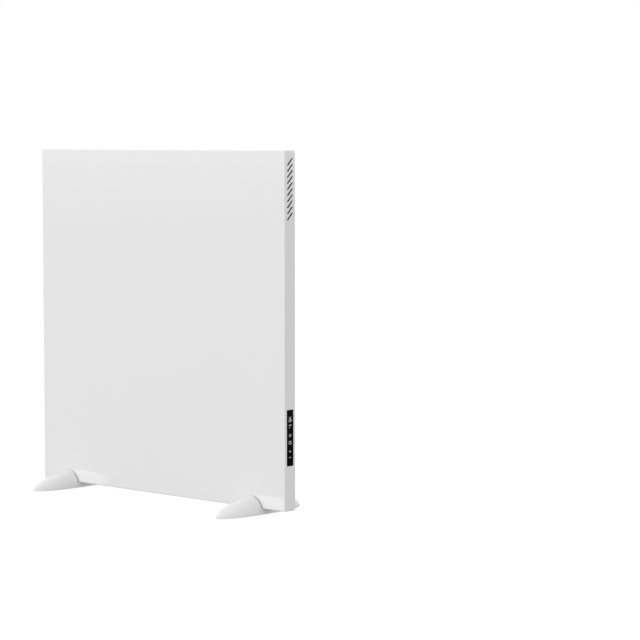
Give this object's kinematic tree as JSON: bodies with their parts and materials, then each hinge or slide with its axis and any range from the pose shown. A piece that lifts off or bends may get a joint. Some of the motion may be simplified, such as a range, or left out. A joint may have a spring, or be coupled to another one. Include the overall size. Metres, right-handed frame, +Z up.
{
  "type": "infrared panel heater",
  "caption": "Slim square infrared heating panel on two boat-shaped feet, with a touch strip and slanted air slots in one edge.",
  "frame": {"origin": "on the floor under the middle of the panel, at the panel's middle plane", "axes": "+Z up, -Y the way the heating face looks, +X towards the edge with the touch strip and the air slots"},
  "size_m": [0.6, 0.1986, 0.61],
  "materials": {
    "casing_white": "smooth semi-gloss white powder coat",
    "strip_black": "polished black with grey-white symbols",
    "foot_white": "satin white moulding",
    "pad_grey": "matte grey",
    "zinc_steel": "bright zinc plating",
    "black_plastic": "fine matte",
    "white_plastic": "fine matte",
    "clear_film": "amber insulating film",
    "carbon_film": "printed carbon layer",
    "foil_silver": "bright foil",
    "copper_tin": "tinned copper foil",
    "board_fibre": "pressed mineral fibre",
    "circuit_green": "solder resist",
    "grey_plastic": "fine matte",
    "magnet_nickel": "nickel plating"
  },
  "bodies": {
    "heater": {"anchor_plates": "zinc_steel", "bay_divider": "zinc_steel", "busbars": "copper_tin", "chassis": "black_plastic", "control_carrier": "black_plastic", "control_lens": "strip_black", "cover_screws": "zinc_steel", "cutout_clip": "zinc_steel", "display_module": "black_plastic", "feet": "foot_white", "filter_capacitor": "grey_plastic", "foot_nuts": "zinc_steel", "foot_pads": "pad_grey", "foot_screws": "zinc_steel", "front_film": "clear_film", "front_tray": "casing_white", "gland_body": "grey_plastic", "gland_cap": "grey_plastic", "gland_nut": "grey_plastic", "heater_leads": "white_plastic", "heating_film": "carbon_film", "insulation_board": "board_fibre", "lead_bushings": "black_plastic", "power_board": "circuit_green", "rail_lower": "zinc_steel", "rail_upper": "zinc_steel", "rear_cover": "casing_white", "rear_film": "clear_film", "reflector_foil": "foil_silver", "relay": "black_plastic", "ribbon_cable": "grey_plastic", "ribbon_socket": "white_plastic", "room_sensor": "black_plastic", "terminal_block": "white_plastic", "thermal_cutout": "black_plastic", "tilt_cover": "white_plastic", "tilt_housing": "white_plastic", "tilt_sensor": "black_plastic", "touch_board": "circuit_green", "transformer": "zinc_steel", "vent_baffle": "zinc_steel", "wall_nuts": "zinc_steel"},
    "pendulum": {"tilt_magnet": "magnet_nickel", "tilt_pendulum": "grey_plastic"}
  },
  "joints": [
    {"name": "tip_over_swing", "type": "hinge", "parent": "heater", "child": "pendulum", "pos_m": [0.248, 0, 0.42], "axis": [1, 0, 0], "range_deg": [-15, 15]}
  ]
}
